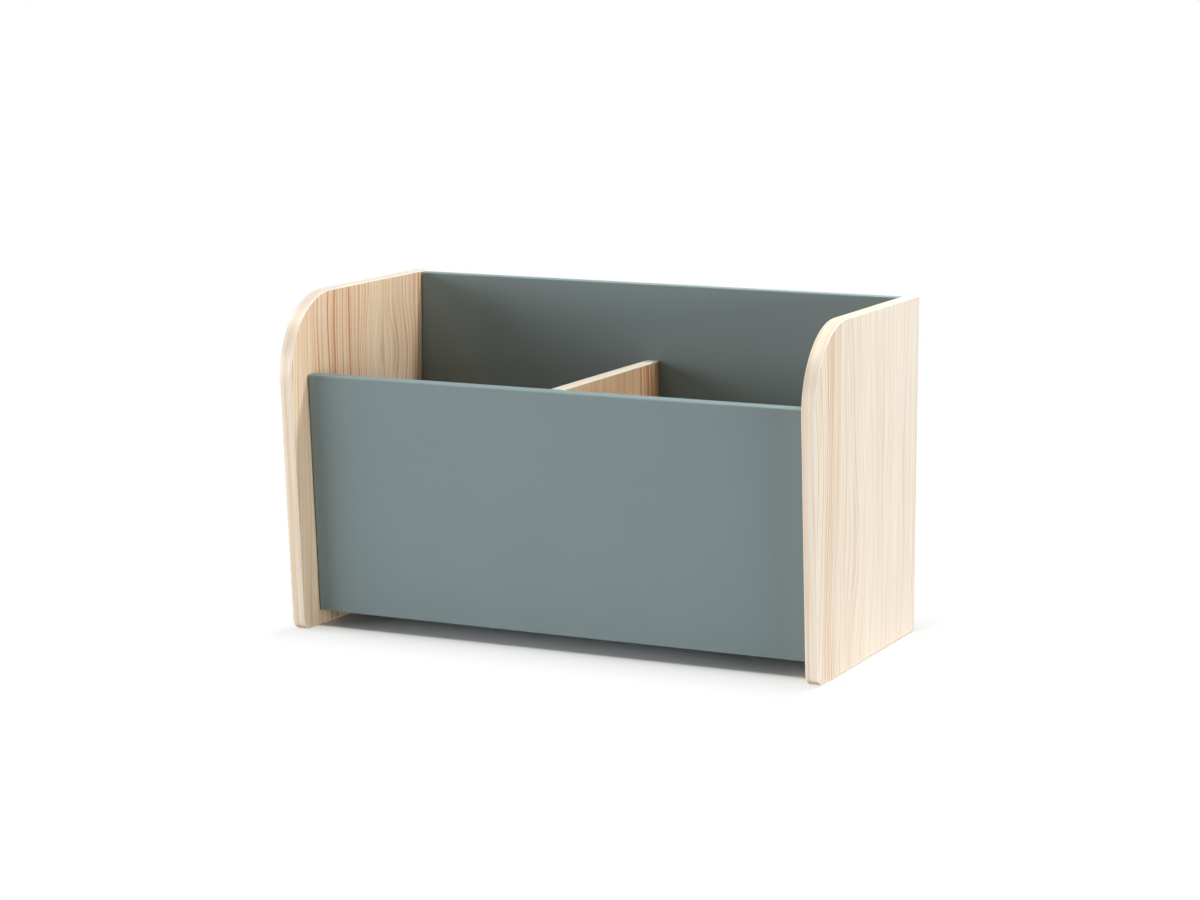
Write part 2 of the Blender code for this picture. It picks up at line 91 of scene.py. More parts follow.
def linear(code):
    """The linear colour of an sRGB hex value."""
    channels = (int(code[start:start + 2], 16) / 255 for start in (1, 3, 5))
    return tuple(c / 12.92 if c <= 0.04045 else ((c + 0.055) / 1.055) ** 2.4 for c in channels)


def colour(name, description, code):
    return FloatVectorProperty(
        name=name, description=description, subtype="COLOR", size=3, min=0, max=1, default=linear(code),
    )


def length(name, description, default):
    return FloatProperty(
        name=name, description=description, default=default, min=0, precision=5, subtype="DISTANCE",
        unit="LENGTH",
    )


def angle(name, description, degrees):
    return FloatProperty(
        name=name, description=description, default=math.radians(degrees), subtype="ANGLE", unit="ROTATION",
    )


def share(name, description, default):
    """A part of the light that shows a white surface as white."""
    return FloatProperty(
        name=name, description=description + ", where 1 is full white", default=default, min=0,
    )


def height_of(node):
    low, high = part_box(node)
    return high.z - low.z


class ChestEdges(PropertyGroup):
    """Sizes of the boards' edges and of the play round the fittings."""

    lean: angle("Lean", "Slope of the sides' front edge, shared by the front panel", 4.1)
    top_corner: length("Top corner", "Radius of the sides' large upper corner", 0.112)
    toe_corner: length("Toe corner", "Radius of the sides' small lower corner", 0.018)
    band: length("Edging", "Thickness of the glued edging", height_of("left_side_foot_band"))
    rounding: length("Rounding", "Rounding of the edging's arrises and of the panels' ends", 0.0015)
    glue_line: length("Glue line", "Open joint between a board and its edging", 0.00006)
    seam: length("Seam", "Dark joint at the front and back panels' ends", 0.0015)
    play: length("Play", "Room between a fitting and its bore", 0.0003)
    thread: length("Thread radius", "Radius of the bolts' thread in the sides", 0.0025)


class ChestColours(PropertyGroup):
    """Colours of the finishes."""

    # Lit and shaded copies of one larch print. The outer colours are paler and less saturated, painted
    # light for the brightly lit outer faces. The inner colours are warmer and deeper, painted shade for the
    # inside.
    lit_outer_ground: colour("Outer ground", "Pale earlywood of the larch print on the outer faces", "#FAF1E0")
    lit_outer_line: colour("Outer line", "Latewood lines of the larch print on the outer faces", "#D6A67A")
    shaded_inner_ground: colour("Inner ground", "Warmer earlywood of the larch print inside the chest", "#F7E3C4")
    shaded_inner_line: colour("Inner line", "Latewood lines of the larch print inside the chest", "#C88A5E")
    # The divider's colours are a deeper copy of the same print, painted shade for its place inside the
    # chest.
    shaded_divider_ground: colour("Divider ground", "Deeper earlywood of the divider's larch print", "#FFDAB0")
    shaded_divider_line: colour("Divider line", "Latewood lines of the divider's larch print", "#C08454")
    edging_ground: colour("Edging ground", "Ground of the larch edging", "#F9ECD9")
    edging_line: colour("Edging line", "Streaks along the larch edging", "#EACDAC")
    # Partly the pale core bared on the arrises and partly a painted highlight along the rounded arrises.
    arris_core_and_highlight: colour("Edging arris", "Pale core of the edging, bared on its trimmed arrises", "#FDF6EA")
    # Painted contact shade: a darker colour on the edging's faces that look down, where the sides meet the
    # floor.
    foot_painted_shade: colour("Edging foot", "Edging of the feet, scuffed by the floor", "#B09070")
    green_face: colour("Green face", "Grey-green of the front, back and bottom", "#7D8D8F")
    green_edging: colour("Green edging", "Grey-green of their edging", "#84999A")
    zinc: colour("Zinc", "Die-cast zinc of the cam locks", "#B4B6B8")
    steel: colour("Steel", "Zinc plating of the cam bolts", "#C4C4C0")
    beech: colour("Beech", "Bare beech of the dowels", "#CDAA82")
    beech_fleck: colour("Beech fleck", "Short dark flecks of the beech", "#B08A60")


class ChestStudio(PropertyGroup):
    """Camera, light and floor."""

    azimuth: angle("Azimuth", "How far the camera stands to the right of the front", 25.35)
    elevation: angle("Elevation", "How far the camera looks down", 9.565)
    distance: length("Distance", "Camera to the point that it aims at", 4.362)
    aim_right: length("Aim right", "Aim to the right of the chest's middle", 0.001)
    aim_up: length("Aim up", "Aim above the chest's middle", 0.022)
    lens: FloatProperty(
        name="Lens", description="Focal length on a sensor 36 mm wide", default=93.25,
        subtype="DISTANCE_CAMERA",
    )
    dome: share("Dome", "Light from all round", 0.03)
    key: share("Key", "Light of the broad softbox at the left on what faces it", 0.90)
    key_azimuth: angle("Key azimuth", "Key's place, to the right of the front", -56)
    key_elevation: angle("Key elevation", "How high the key stands", 7)
    key_width: length("Key width", "Width of the key", 8.0)
    key_height: length("Key height", "Height of the key", 2.4)
    side: share("Side", "Light of the softbox at the right on what faces it", 0.50)
    side_azimuth: angle("Side azimuth", "Side softbox's place, to the right of the front", 72)
    side_elevation: angle("Side elevation", "How high the side softbox stands", 3)
    side_width: length("Side width", "Width of the side softbox", 4.0)
    side_height: length("Side height", "Height of the side softbox", 1.2)
    high: share("High", "Light of the softbox high at the left on what faces it", 0.25)
    high_azimuth: angle("High azimuth", "High softbox's place, to the right of the front", -75)
    high_elevation: angle("High elevation", "How high the high softbox stands", 60)
    high_width: length("High width", "Width of the high softbox", 2.0)
    high_height: length("High height", "Height of the high softbox", 2.0)
    top: share("Top", "Light of the softbox overhead on what faces it", 0.77)
    top_right: length("Top right", "Softbox overhead, to the right of the chest's middle", 0.60)
    top_back: length("Top back", "Softbox overhead, behind the chest's middle", 0.37)
    top_height: length("Top height", "Softbox overhead, above the chest's middle", 1.45)
    top_size: length("Top size", "Sides of the softbox overhead", 0.3)
    softbox_distance: length("Softbox distance", "Key, side and high softboxes to the chest's middle", 6.0)
    floor: colour("Floor", "White of the floor", "#FAFAFA")
    floor_far: length("Floor far", "How far from the chest its shadow is lost in white", 0.12)
    shadow_fall: FloatProperty(
        name="Shadow fall", description="How fast the shadow is lost at first, where 1 is evenly",
        default=0.3, min=0,
    )
    shadow_trim: FloatProperty(
        name="Shadow trim", description="How many times sooner the shadow is lost beside the chest",
        default=5.0, min=1,
    )


# Node trees

def feed(node, inputs):
    """Sets inputs of a node, each to a value, or links it to an output or to a node's first open output."""
    for socket, value in inputs.items():
        if isinstance(value, Node):
            value = next(output for output in value.outputs if output.enabled)
        if isinstance(value, NodeSocket):
            node.id_data.links.new(value, node.inputs[socket])
        else:
            node.inputs[socket].default_value = value


def add_node(tree, kind, *values, inputs=None, **settings):
    """Adds a node with its settings. Values go to its open inputs in order, and inputs to named ones."""
    node = tree.nodes.new("ShaderNode" + kind)
    for name, value in settings.items():
        setattr(node, name, value)
    open_inputs = [number for number, socket in enumerate(node.inputs) if socket.enabled]
    feed(node, dict(zip(open_inputs, values)) | (inputs or {}))
    return node


def new_material(name, inputs):
    """A material with a Principled BSDF and its constant inputs."""
    material = bpy.data.materials.new(name)
    material.use_nodes = True
    shader = material.node_tree.nodes["Principled BSDF"]
    feed(shader, inputs)
    return material, material.node_tree, shader


def opaque(rgb):
    return (*rgb, 1.0)


# Finishes

NOISE_SPAN = (0.3, 0.7)  # levels between which most of a noise lies
SMOOTH = {"interpolation_type": "SMOOTHSTEP"}


@dataclass(frozen=True)
class Plank:
    """How the print lies on an upright board, its lines running up Z.

    The lines part round an eye, placed by its (y, z), with a half width and half height and how far they
    part. They sway so far, and are strongest in belts, each a level of Y and a half width, with a share of
    that strength elsewhere. The number picks one print of many. Where one face, at larger or smaller X, has
    the outer print, outer is +1 or -1, and the lines there have a share of their strength.
    """

    eye: tuple
    eye_half: tuple
    parting: float
    sway: float
    belts: tuple
    elsewhere: float
    number: float
    # The outer face takes the paler, lit copy of the print and the rest takes the shaded copy: painted
    # light and shade.
    outer: int = 0
    outer_share: float = 1.0


# The belts near the rear of the left side and of the divider darken the print towards the back corner:
# partly grain and partly painted shade.
PLANKS = {
    "left_side": Plank(
        eye=(0.072, 0.37), eye_half=(0.060, 0.06), parting=0.85, sway=0.022,
        belts=((-0.068, 0.080), (0.175, 0.045)), elsewhere=0.60, number=1.7, outer=-1, outer_share=0.6,
    ),
    "right_side": Plank(
        eye=(-0.075, 0.18), eye_half=(0.040, 0.11), parting=0.55, sway=0.032,
        belts=((-0.125, 0.050),), elsewhere=0.38, number=5.2, outer=1,
    ),
    "divider": Plank(
        eye=(0.120, 0.30), eye_half=(0.040, 0.14), parting=0.50, sway=0.022,
        belts=((0.125, 0.060),), elsewhere=0.45, number=9.1,
    ),
}

# Larch print: sizes are a width across the grain and a length along it, spans are levels of the noise
LARCH_IOR = 1.5
SWAY_SIZE = (120 * MM, 320 * MM)
RIPPLE_SIZE = (40 * MM, 180 * MM)
RIPPLE_REACH = 2.5 * MM
PATCH_SIZE = (60 * MM, 420 * MM)
PATCH_SPAN = (0.32, 0.68)
PATCH_STRENGTH = (0.65, 1.0)
STRIPE_SIZE = (15 * MM, 500 * MM)
STRIPE_SPAN = (0.35, 0.65)
STRIPE_STRENGTH = (0.0, 0.25)
BELT_STRENGTH = 1.4
BELT_TINT = 0.16
# Real fibre is under half a millimetre wide: drawn at 2.5 mm so that it shows from a step away
FIBRE_SIZE = (2.5 * MM, 110 * MM)
FIBRE_DEPTH = 0.05 * MM
FIBRE_RELIEF = 0.25
FIBRE_LIGHT = (0.25, 0.75, 0.94, 1.05)  # a span, and how light it makes the wood
FIBRE_ROUGHNESS = (0.2, 0.8, 0.40, 0.50)  # a span, and how rough it makes the face

# Growth lines, broad and fine: their distance, the strength of the faintest and the strength of all
BROAD_RINGS = (9 * MM, 0.3, 0.7)
FINE_RINGS = (3.6 * MM, 0.1, 0.4)
YEAR_SPAN = (0.1, 0.9)  # of the noise that gives each line its strength
WEATHER_PACE = 0.35  # changes of weather in a year
WEATHER_YEARS = 1.8  # how far the weather moves a line
LINE_DARKENS = (0.1, 0.7)  # from when to when in the year
LINE_ENDS = (1.0, 0.8)


def larch_print(name, plank, low, high, ground, line, lit_outer_ground=None, lit_outer_line=None):
    """Larch print under satin melamine, on a board between two corners.

    Growth lines that darken slowly and end sharply, some strong and some faint, swaying up the board and
    parting round an eye, on a cream ground with fine fibre.
    """
    material, tree, shader = new_material(name, {"IOR": LARCH_IOR})
    node = partial(add_node, tree)
    axes = node("SeparateXYZ", node("TexCoord").outputs["Object"])
    across = axes.outputs["Y"]
    along = axes.outputs["Z"]
    face = node("CombineXYZ", across, along, plank.number)

    def grain(size, detail=1.0):
        """Noise whose features are so wide across the grain and so long along it."""
        width, run = size
        scaled = node("VectorMath", face, (1 / width, 1 / run, 1), operation="MULTIPLY")
        return node("TexNoise", scaled, 1.0, detail)

    def bell(square):
        """1 in the middle, fading with the square of the distance from it."""
        return node("Math", node("Math", square, -1.0, operation="MULTIPLY"), operation="EXPONENT")

    eye_y, eye_z = plank.eye
    eye_width, eye_height = plank.eye_half
    sway = node("Math", grain(SWAY_SIZE), 2 * plank.sway, -plank.sway - eye_y, operation="MULTIPLY_ADD")
    ripple = node("Math", grain(RIPPLE_SIZE), 2 * RIPPLE_REACH, -RIPPLE_REACH, operation="MULTIPLY_ADD")
    from_eye = node("Math", across, node("Math", sway, ripple, operation="ADD"), operation="ADD")
    aside = node("Math", from_eye, eye_width, operation="DIVIDE")
    above = node("Math", node("Math", along, eye_z, operation="SUBTRACT"), eye_height, operation="DIVIDE")
    off_eye = node("CombineXYZ", aside, above)
    in_eye = bell(node("VectorMath", off_eye, off_eye, operation="DOT_PRODUCT"))
    squeeze = node("Math", in_eye, -plank.parting, 1.0, operation="MULTIPLY_ADD")
    parted = node("Math", from_eye, squeeze, operation="MULTIPLY")

    def latewood(ring, faintest):
        """Lines about so far apart, each with a strength of its own."""
        even = node("Math", parted, 1 / ring, operation="MULTIPLY")
        weather = node("TexNoise", even, WEATHER_PACE, 2.0, noise_dimensions="1D")
        years = node("Math", weather, WEATHER_YEARS, even, operation="MULTIPLY_ADD")
        season = node("Math", years, operation="FRACT")
        year = node("TexWhiteNoise", node("Math", years, operation="FLOOR"), noise_dimensions="1D")
        strength = node("MapRange", year, *YEAR_SPAN, faintest, 1.0, **SMOOTH)
        darkening = node("MapRange", season, *LINE_DARKENS, **SMOOTH)
        ending = node("MapRange", season, *LINE_ENDS, **SMOOTH)
        profile = node("Math", darkening, ending, operation="MULTIPLY")
        return node("Math", strength, profile, operation="MULTIPLY")

    belt = 0.0
    for middle, half in plank.belts:
        from_middle = node("Math", from_eye, eye_y - middle, operation="ADD")
        off = node("Math", from_middle, half, operation="DIVIDE")
        in_belt = bell(node("Math", off, off, operation="MULTIPLY"))
        belt = node("Math", belt, in_belt, operation="MAXIMUM")
    zone = node("Math", belt, BELT_STRENGTH - plank.elsewhere, plank.elsewhere, operation="MULTIPLY_ADD")
    patches = node("MapRange", grain(PATCH_SIZE), *PATCH_SPAN, *PATCH_STRENGTH, **SMOOTH)
    drawn = node("MapRange", grain(STRIPE_SIZE), *STRIPE_SPAN, *STRIPE_STRENGTH, **SMOOTH)
    for ring, faintest, strength in (BROAD_RINGS, FINE_RINGS):
        drawn = node("Math", latewood(ring, faintest), strength, drawn, operation="MULTIPLY_ADD")
    for strength in (zone, patches):
        drawn = node("Math", drawn, strength, operation="MULTIPLY")
    # The tint darkens the print in the belts. In the rear belts this is partly painted shade.
    tint = node("Math", belt, BELT_TINT, operation="MULTIPLY")
    lines = node("Math", drawn, tint, operation="MAXIMUM")

    ground = opaque(ground)
    line = opaque(line)
    # Painted light and shade: across the board's thickness, the print blends from its shaded inside copy to
    # the paler, lit outer copy.
    if plank.outer:
        inside, outside = (low.x, high.x) if plank.outer > 0 else (high.x, low.x)
        outwards = node("MapRange", axes.outputs["X"], inside, outside, **SMOOTH)
        ground = node("Mix", outwards, ground, opaque(lit_outer_ground), data_type="RGBA")
        line = node("Mix", outwards, line, opaque(lit_outer_line), data_type="RGBA")
        kept = node("MapRange", outwards, 0.0, 1.0, 1.0, plank.outer_share)
        lines = node("Math", lines, kept, operation="MULTIPLY")
    fibre = grain(FIBRE_SIZE, 2.0)
    light = node("MapRange", fibre, *FIBRE_LIGHT, **SMOOTH)
    wood = node("Mix", lines, ground, line, data_type="RGBA")
    feed(shader, {
        "Base Color": node("HueSaturation", inputs={"Value": light, "Color": wood}),
        "Roughness": node("MapRange", fibre, *FIBRE_ROUGHNESS, **SMOOTH),
        "Normal": node("Bump", FIBRE_RELIEF, FIBRE_DEPTH, inputs={"Height": fibre}),
    })
    return material


# Larch edging: streaks are a width, a length and a strength
EDGING_IOR = 1.5
EDGING_STREAKS = ((7 * MM, 420 * MM, 0.75), (2.2 * MM, 160 * MM, 0.5))
EDGING_SLICES = 30  # of the noise in a metre of X, so that each band has streaks of its own
EDGING_ROUGHNESS = (0.30, 0.38)
STREAK_SPAN = (0.48, 0.72)
# How far its surface is turned sideways or down, as a part of its normal
# The pale line on the arrises is partly the edging's core and partly a painted highlight.
ARRIS_STARTS = (0.15, 0.45)
ARRIS_ENDS = (0.96, 0.88)
# Faces that look down take the darker foot colour: painted contact shade.
FACES_DOWN = (-0.5, -0.95)


def larch_edging(colours):
    """Extruded ABS edging with the larch print.

    Satin, a little glossier than the face, with streaks that run along the band round every corner. A thin
    pale line on its arrises is partly their bared core and partly a painted highlight, and the faces that
    look down are darker: painted contact shade under the feet.
    """
    material, tree, shader = new_material("larch_abs_edging", {"IOR": EDGING_IOR})
    node = partial(add_node, tree)
    run = node("SeparateXYZ", node("UVMap", uv_map="along_band"))
    place = node("SeparateXYZ", node("TexCoord").outputs["Object"])
    band = node("CombineXYZ", run.outputs["X"], run.outputs["Y"], place.outputs["X"])
    print_colour = opaque(colours.edging_ground)
    for width, reach, strength in EDGING_STREAKS:
        scaled = node("VectorMath", band, (1 / reach, 1 / width, EDGING_SLICES), operation="MULTIPLY")
        streaks = node("TexNoise", scaled, 1.0, 1.0)
        dark = node("MapRange", streaks, *STREAK_SPAN, 0.0, strength, **SMOOTH)
        print_colour = node("Mix", dark, print_colour, opaque(colours.edging_line), data_type="RGBA")
    turned = node("SeparateXYZ", node("NewGeometry").outputs["Normal"])
    sideways = node("Math", turned.outputs["X"], operation="ABSOLUTE")
    off_face = node("MapRange", sideways, *ARRIS_STARTS, **SMOOTH)
    # The pale arris line: partly the edging's bared core, partly a painted highlight.
    trimmed = node("MapRange", sideways, *ARRIS_ENDS, 0.0, off_face, **SMOOTH)
    bared = node("Mix", trimmed, print_colour, opaque(colours.arris_core_and_highlight), data_type="RGBA")
    # Painted contact shade: the edging darkens where it faces down, at the feet on the floor.
    downwards = node("MapRange", turned.outputs["Z"], *FACES_DOWN, **SMOOTH)
    feed(shader, {
        "Base Color": node("Mix", downwards, bared, opaque(colours.foot_painted_shade), data_type="RGBA"),
        "Roughness": node("MapRange", streaks, *NOISE_SPAN, *EDGING_ROUGHNESS),
    })
    return material


# Green melamine: the pressed pebble is about 0.3 mm, drawn at 1.2 mm so that it shows from a step away
GREEN_IOR = 1.42
PEBBLE = 1.2 * MM
PEBBLE_DEPTH = 0.04 * MM
PEBBLE_RELIEF = 0.2
PEBBLE_ROUGHNESS = 0.05  # more or less than the finish's own
CLOUD = 140 * MM
CLOUD_LIGHT = (0.985, 1.015)
FACE_ROUGHNESS = 0.55
BAND_ROUGHNESS = 0.50


def green_melamine(name, rgb, roughness):
    """Plain grey-green melamine, pressed matt, or the ABS edging that goes with it.

    An even colour, hardly lighter or darker in places, under a fine pebbled skin that spreads the light.
    """
    material, tree, shader = new_material(name, {"IOR": GREEN_IOR})
    node = partial(add_node, tree)
    place = node("TexCoord").outputs["Object"]
    pebble = node("TexNoise", place, 1 / PEBBLE, 2.0)
    cloud = node("TexNoise", place, 1 / CLOUD, 2.0)
    light = node("MapRange", cloud, *NOISE_SPAN, *CLOUD_LIGHT)
    matt = (roughness - PEBBLE_ROUGHNESS, roughness + PEBBLE_ROUGHNESS)
    feed(shader, {
        "Base Color": node("HueSaturation", inputs={"Value": light, "Color": opaque(rgb)}),
        "Roughness": node("MapRange", pebble, *NOISE_SPAN, *matt),
        "Normal": node("Bump", PEBBLE_RELIEF, PEBBLE_DEPTH, inputs={"Height": pebble}),
    })
    return material


# Fittings: the real skin and flecks are about a third as large, drawn coarser to show in a close view
ZINC_SKIN = 0.6 * MM
ZINC_ROUGHNESS = 0.42
STEEL_SKIN = 0.4 * MM
STEEL_ROUGHNESS = 0.30
SKIN_DEPTH = 0.05 * MM
SKIN_RELIEF = 0.3
SKIN_ROUGHNESS = 0.08  # more or less than the metal's own
FLECK = 1.5 * MM
FLECK_SPAN = (0.55, 0.7)
FLECK_STRENGTH = 0.7
BEECH_ROUGHNESS = 0.65


def cast_metal(name, rgb, grain, roughness):
    """Metal with the fine uneven skin of a casting or of plating, which breaks up its reflections."""
    material, tree, shader = new_material(name, {"Metallic": 1.0, "Base Color": opaque(rgb)})
    node = partial(add_node, tree)
    skin = node("TexNoise", node("TexCoord").outputs["Object"], 1 / grain, 3.0)
    dull = (roughness - SKIN_ROUGHNESS, roughness + SKIN_ROUGHNESS)
    feed(shader, {
        "Roughness": node("MapRange", skin, *NOISE_SPAN, *dull),
        "Normal": node("Bump", SKIN_RELIEF, SKIN_DEPTH, inputs={"Height": skin}),
    })
    return material


def bare_beech(colours):
    """Turned beech without finish: pale, dull, with short darker flecks."""
    material, tree, shader = new_material("bare_beech", {"Roughness": BEECH_ROUGHNESS})
    node = partial(add_node, tree)
    flecks = node("TexNoise", node("TexCoord").outputs["Object"], 1 / FLECK, 2.0)
    dark = node("MapRange", flecks, *FLECK_SPAN, 0.0, FLECK_STRENGTH)
    wood = node("Mix", dark, opaque(colours.beech), opaque(colours.beech_fleck), data_type="RGBA")
    feed(shader, {"Base Color": wood})
    return material


# Shapes

def arc(centre, radius, start, end):
    """Points of an arc in the YZ plane, each with its direction from the centre."""
    steps = math.ceil(abs(end - start) / ARC_STEP)
    points = []
    for step in range(steps + 1):
        turn = start + (end - start) * step / steps
        out = Vector((math.cos(turn), math.sin(turn)))
        points.append((centre + radius * out, out))
    return points


def side_run(edges, inset):
    """A side's edge from the end of its toe up its front and round its top corner, drawn in by an inset."""
    front = math.pi + edges.lean
    out = Vector((math.cos(front), math.sin(front)))
    down = Vector((math.sin(edges.lean), -math.cos(edges.lean)))
    top_centre = Vector((CAD_LOW.y + edges.top_corner, CAD_HIGH.z - edges.top_corner))
    level = top_centre + (edges.top_corner - edges.toe_corner) * out
    toe_centre = level + down * (level.y - edges.toe_corner) / math.cos(edges.lean)
    toe = arc(toe_centre, edges.toe_corner - inset, 1.5 * math.pi, front)
    return toe + arc(top_centre, edges.top_corner - inset, front, math.pi / 2)


def loft(rings):
    """A closed body through rings of points, capped at both ends. UVs run along it and around it."""
    shape = bmesh.new()
    uv_layer = shape.loops.layers.uv.new("along_band")
    verts = [[shape.verts.new(point) for point in ring] for ring in rings]
    sides = len(rings[0])
    around = [0.0]
    for index in range(sides):
        around.append(around[-1] + (rings[0][(index + 1) % sides] - rings[0][index]).length)
    shape.faces.new(reversed(verts[0]))
    shape.faces.new(verts[-1])
    reach = 0.0
    for row in range(len(rings) - 1):
        step = max((b - a).length for a, b in zip(rings[row], rings[row + 1]))
        for index in range(sides):
            after = (index + 1) % sides
            face = shape.faces.new(
                (verts[row][index], verts[row][after], verts[row + 1][after], verts[row + 1][index]))
            corners = ((reach, around[index]), (reach, around[index + 1]),
                       (reach + step, around[index + 1]), (reach + step, around[index]))
            for loop, corner in zip(face.loops, corners):
                loop[uv_layer].uv = corner
        reach += step
    bmesh.ops.recalc_face_normals(shape, faces=shape.faces)
    return shape


def prism(outline, x_low, x_high):
    """A board with an outline of (y, z) points, between two levels of X."""
    return loft([[Vector((x, y, z)) for y, z in outline] for x in (x_low, x_high)])


def band_section(width, band, rounding):
    """Section of an edging as (across, depth) points: square at its glue face, its arrises rounded."""
    section = [(-width / 2, band), (width / 2, band)]
    for side, start in ((1, 0.0), (-1, math.pi / 2)):
        for step in range(ROUND_SEGMENTS + 1):
            turn = start + math.pi / 2 * step / ROUND_SEGMENTS
            section.append((side * (width / 2 - rounding) + rounding * math.cos(turn),
                            rounding - rounding * math.sin(turn)))
    return section


def edging(run, x_middle, width, edges):
    """An edging swept along (point, outward direction) pairs in the YZ plane."""
    section = band_section(width, edges.band, edges.rounding)
    return loft([
        [Vector((x_middle + across, *(point - out * depth))) for across, depth in section]
        for point, out in run
    ])


def block(low, high, test, radius):
    """A squared board between two corners. Edges that pass the test are rounded off."""
    shape = bmesh.new()
    bmesh.ops.create_cube(shape, size=1)
    bmesh.ops.scale(shape, vec=high - low, verts=shape.verts)
    bmesh.ops.translate(shape, vec=(low + high) / 2, verts=shape.verts)
    bmesh.ops.bevel(
        shape, geom=[edge for edge in shape.edges if test(edge)], offset=radius, segments=ROUND_SEGMENTS,
        profile=0.5, affect="EDGES",
    )
    return shape


def upright(edge):
    run = edge.verts[1].co - edge.verts[0].co
    return abs(run.z) > 0.5 * run.length


def clear_of(level):
    """Tests that an edge doesn't lie in the level of a glue face."""
    def test(edge):
        return any(abs(vert.co.z - level) > TOLERANCE for vert in edge.verts)
    return test


def leaning_box(lean, *nodes):
    """Lowest and highest corner of some nodes together, in a frame turned about X by their lean."""
    turn = Matrix.Rotation(-lean, 3, "X")
    points = [turn @ vert.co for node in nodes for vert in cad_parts[node].data.vertices]
    return Vector(map(min, *points)), Vector(map(max, *points))


# Bores

CAM_AXIS = {"front": (1, 1), "back": (1, 1), "bottom": (2, -1)}  # axis of the cams, and which way they open


def fitting_nodes(kind):
    return [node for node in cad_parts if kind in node]


def joined_boards(fitting):
    """The boards that a fitting sits in, from its name."""
    words = fitting.split("_")
    if "cam_lock" in fitting:
        return [words[0] + "_panel"]
    if "cam_bolt" in fitting:
        return [words[0] + "_panel", words[3] + "_side_panel"]
    if words[1] == "dowel":
        return [words[0] + "_panel", words[2] + "_side_panel"]
    return [words[0] + "_panel", words[1] + "_panel"]


def lean_of(fitting, edges):
    return edges.lean if "front" in fitting.split("_")[:2] else 0.0


def bore(fitting, board, edges):
    """A fitting's bore in a board: its kind, and its matrix, radius and length."""
    lean = lean_of(fitting, edges)
    low, high = leaning_box(lean, fitting)
    size = high - low
    if "cam_lock" in fitting:
        kind = "cam"
        axis, opens = CAM_AXIS[fitting.split("_")[0]]
        if opens > 0:
            high[axis] += OVERCUT
        else:
            low[axis] -= OVERCUT
    else:
        kind = "dowel" if "dowel" in fitting else "bolt"
        axis = max(range(3), key=lambda index: size[index])
    radius = min(size[index] for index in range(3) if index != axis) / 2 + edges.play
    if kind == "bolt" and "side" in board:
        radius = edges.thread + edges.play
    reach = size[axis] + 2 * edges.play + (OVERCUT if kind == "cam" else 0)
    point = Vector((0, 0, 0))
    point[axis] = 1
    along = point.to_track_quat("Z", "Y").to_matrix().to_4x4()
    matrix = Matrix.Rotation(lean, 4, "X") @ Matrix.Translation((low + high) / 2) @ along
    return kind, matrix, radius, reach


def bore_cutters(board, edges):
    """Cutters for a board, one for each kind of bore in it."""
    shapes = defaultdict(bmesh.new)
    for fitting in fitting_nodes("cam_") + fitting_nodes("dowel"):
        if board in joined_boards(fitting):
            kind, matrix, radius, reach = bore(fitting, board, edges)
            bmesh.ops.create_cone(
                shapes[kind], cap_ends=True, segments=BORE_SEGMENTS, radius1=radius, radius2=radius,
                depth=reach, matrix=matrix,
            )
    return [mesh_object(f"{board}_{kind}_cutter", shape) for kind, shape in shapes.items()]


def mesh_object(name, shape):
    """An object from a bmesh, which is freed."""
    mesh = bpy.data.meshes.new(name)
    shape.to_mesh(mesh)
    shape.free()
    made = bpy.data.objects.new(name, mesh)
    bpy.context.scene.collection.objects.link(made)
    return made


def drill(piece, board, edges):
    """Takes every bore of a board out of the piece that stands for it."""
    cutters = bore_cutters(board, edges)
    for cutter in cutters:
        cut = piece.modifiers.new(cutter.name, "BOOLEAN")
        cut.operation = "DIFFERENCE"
        cut.solver = "EXACT"
        cut.object = cutter
    graph = bpy.context.evaluated_depsgraph_get()
    whole = piece.data
    piece.data = bpy.data.meshes.new_from_object(piece.evaluated_get(graph))
    piece.modifiers.clear()
    bpy.data.meshes.remove(whole)
    for cutter in cutters:
        bpy.data.objects.remove(cutter)


# Pieces

def add_piece(name, shape, material, node, edges, lean=0.0, bored=False):
    """Makes a piece that stands for a CAD node and rides on the chest."""
    bmesh.ops.rotate(shape, cent=(0, 0, 0), matrix=Matrix.Rotation(lean, 3, "X"), verts=shape.verts)
    piece = mesh_object(name, shape)
    if bored:
        drill(piece, node, edges)
    piece.data.materials.clear()
    piece.data.materials.append(material)
    piece.data.shade_smooth()
    piece.data.set_sharp_from_angle(angle=SHARP_ANGLE)
    flat = piece.modifiers.new("flat_faces", "WEIGHTED_NORMAL")
    flat.keep_sharp = True
    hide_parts(node)
    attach(piece, BODY)


def dress_nodes(nodes, material):
    """Gives CAD nodes a finish in place of their plain one."""
    for node in nodes:
        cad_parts[node].data.materials.clear()
        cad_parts[node].data.materials.append(material)


def finish_named(name, make, *values):
    """The material of this name, made once."""
    return bpy.data.materials.get(name) or make(*values)


def larch_edging_finish(colours):
    return finish_named("larch_abs_edging", larch_edging, colours)


def green_finish(name, rgb, roughness):
    return finish_named(name, green_melamine, name, rgb, roughness)


def green_board_finish(colours):
    return green_finish("grey_green_melamine", colours.green_face, FACE_ROUGHNESS)


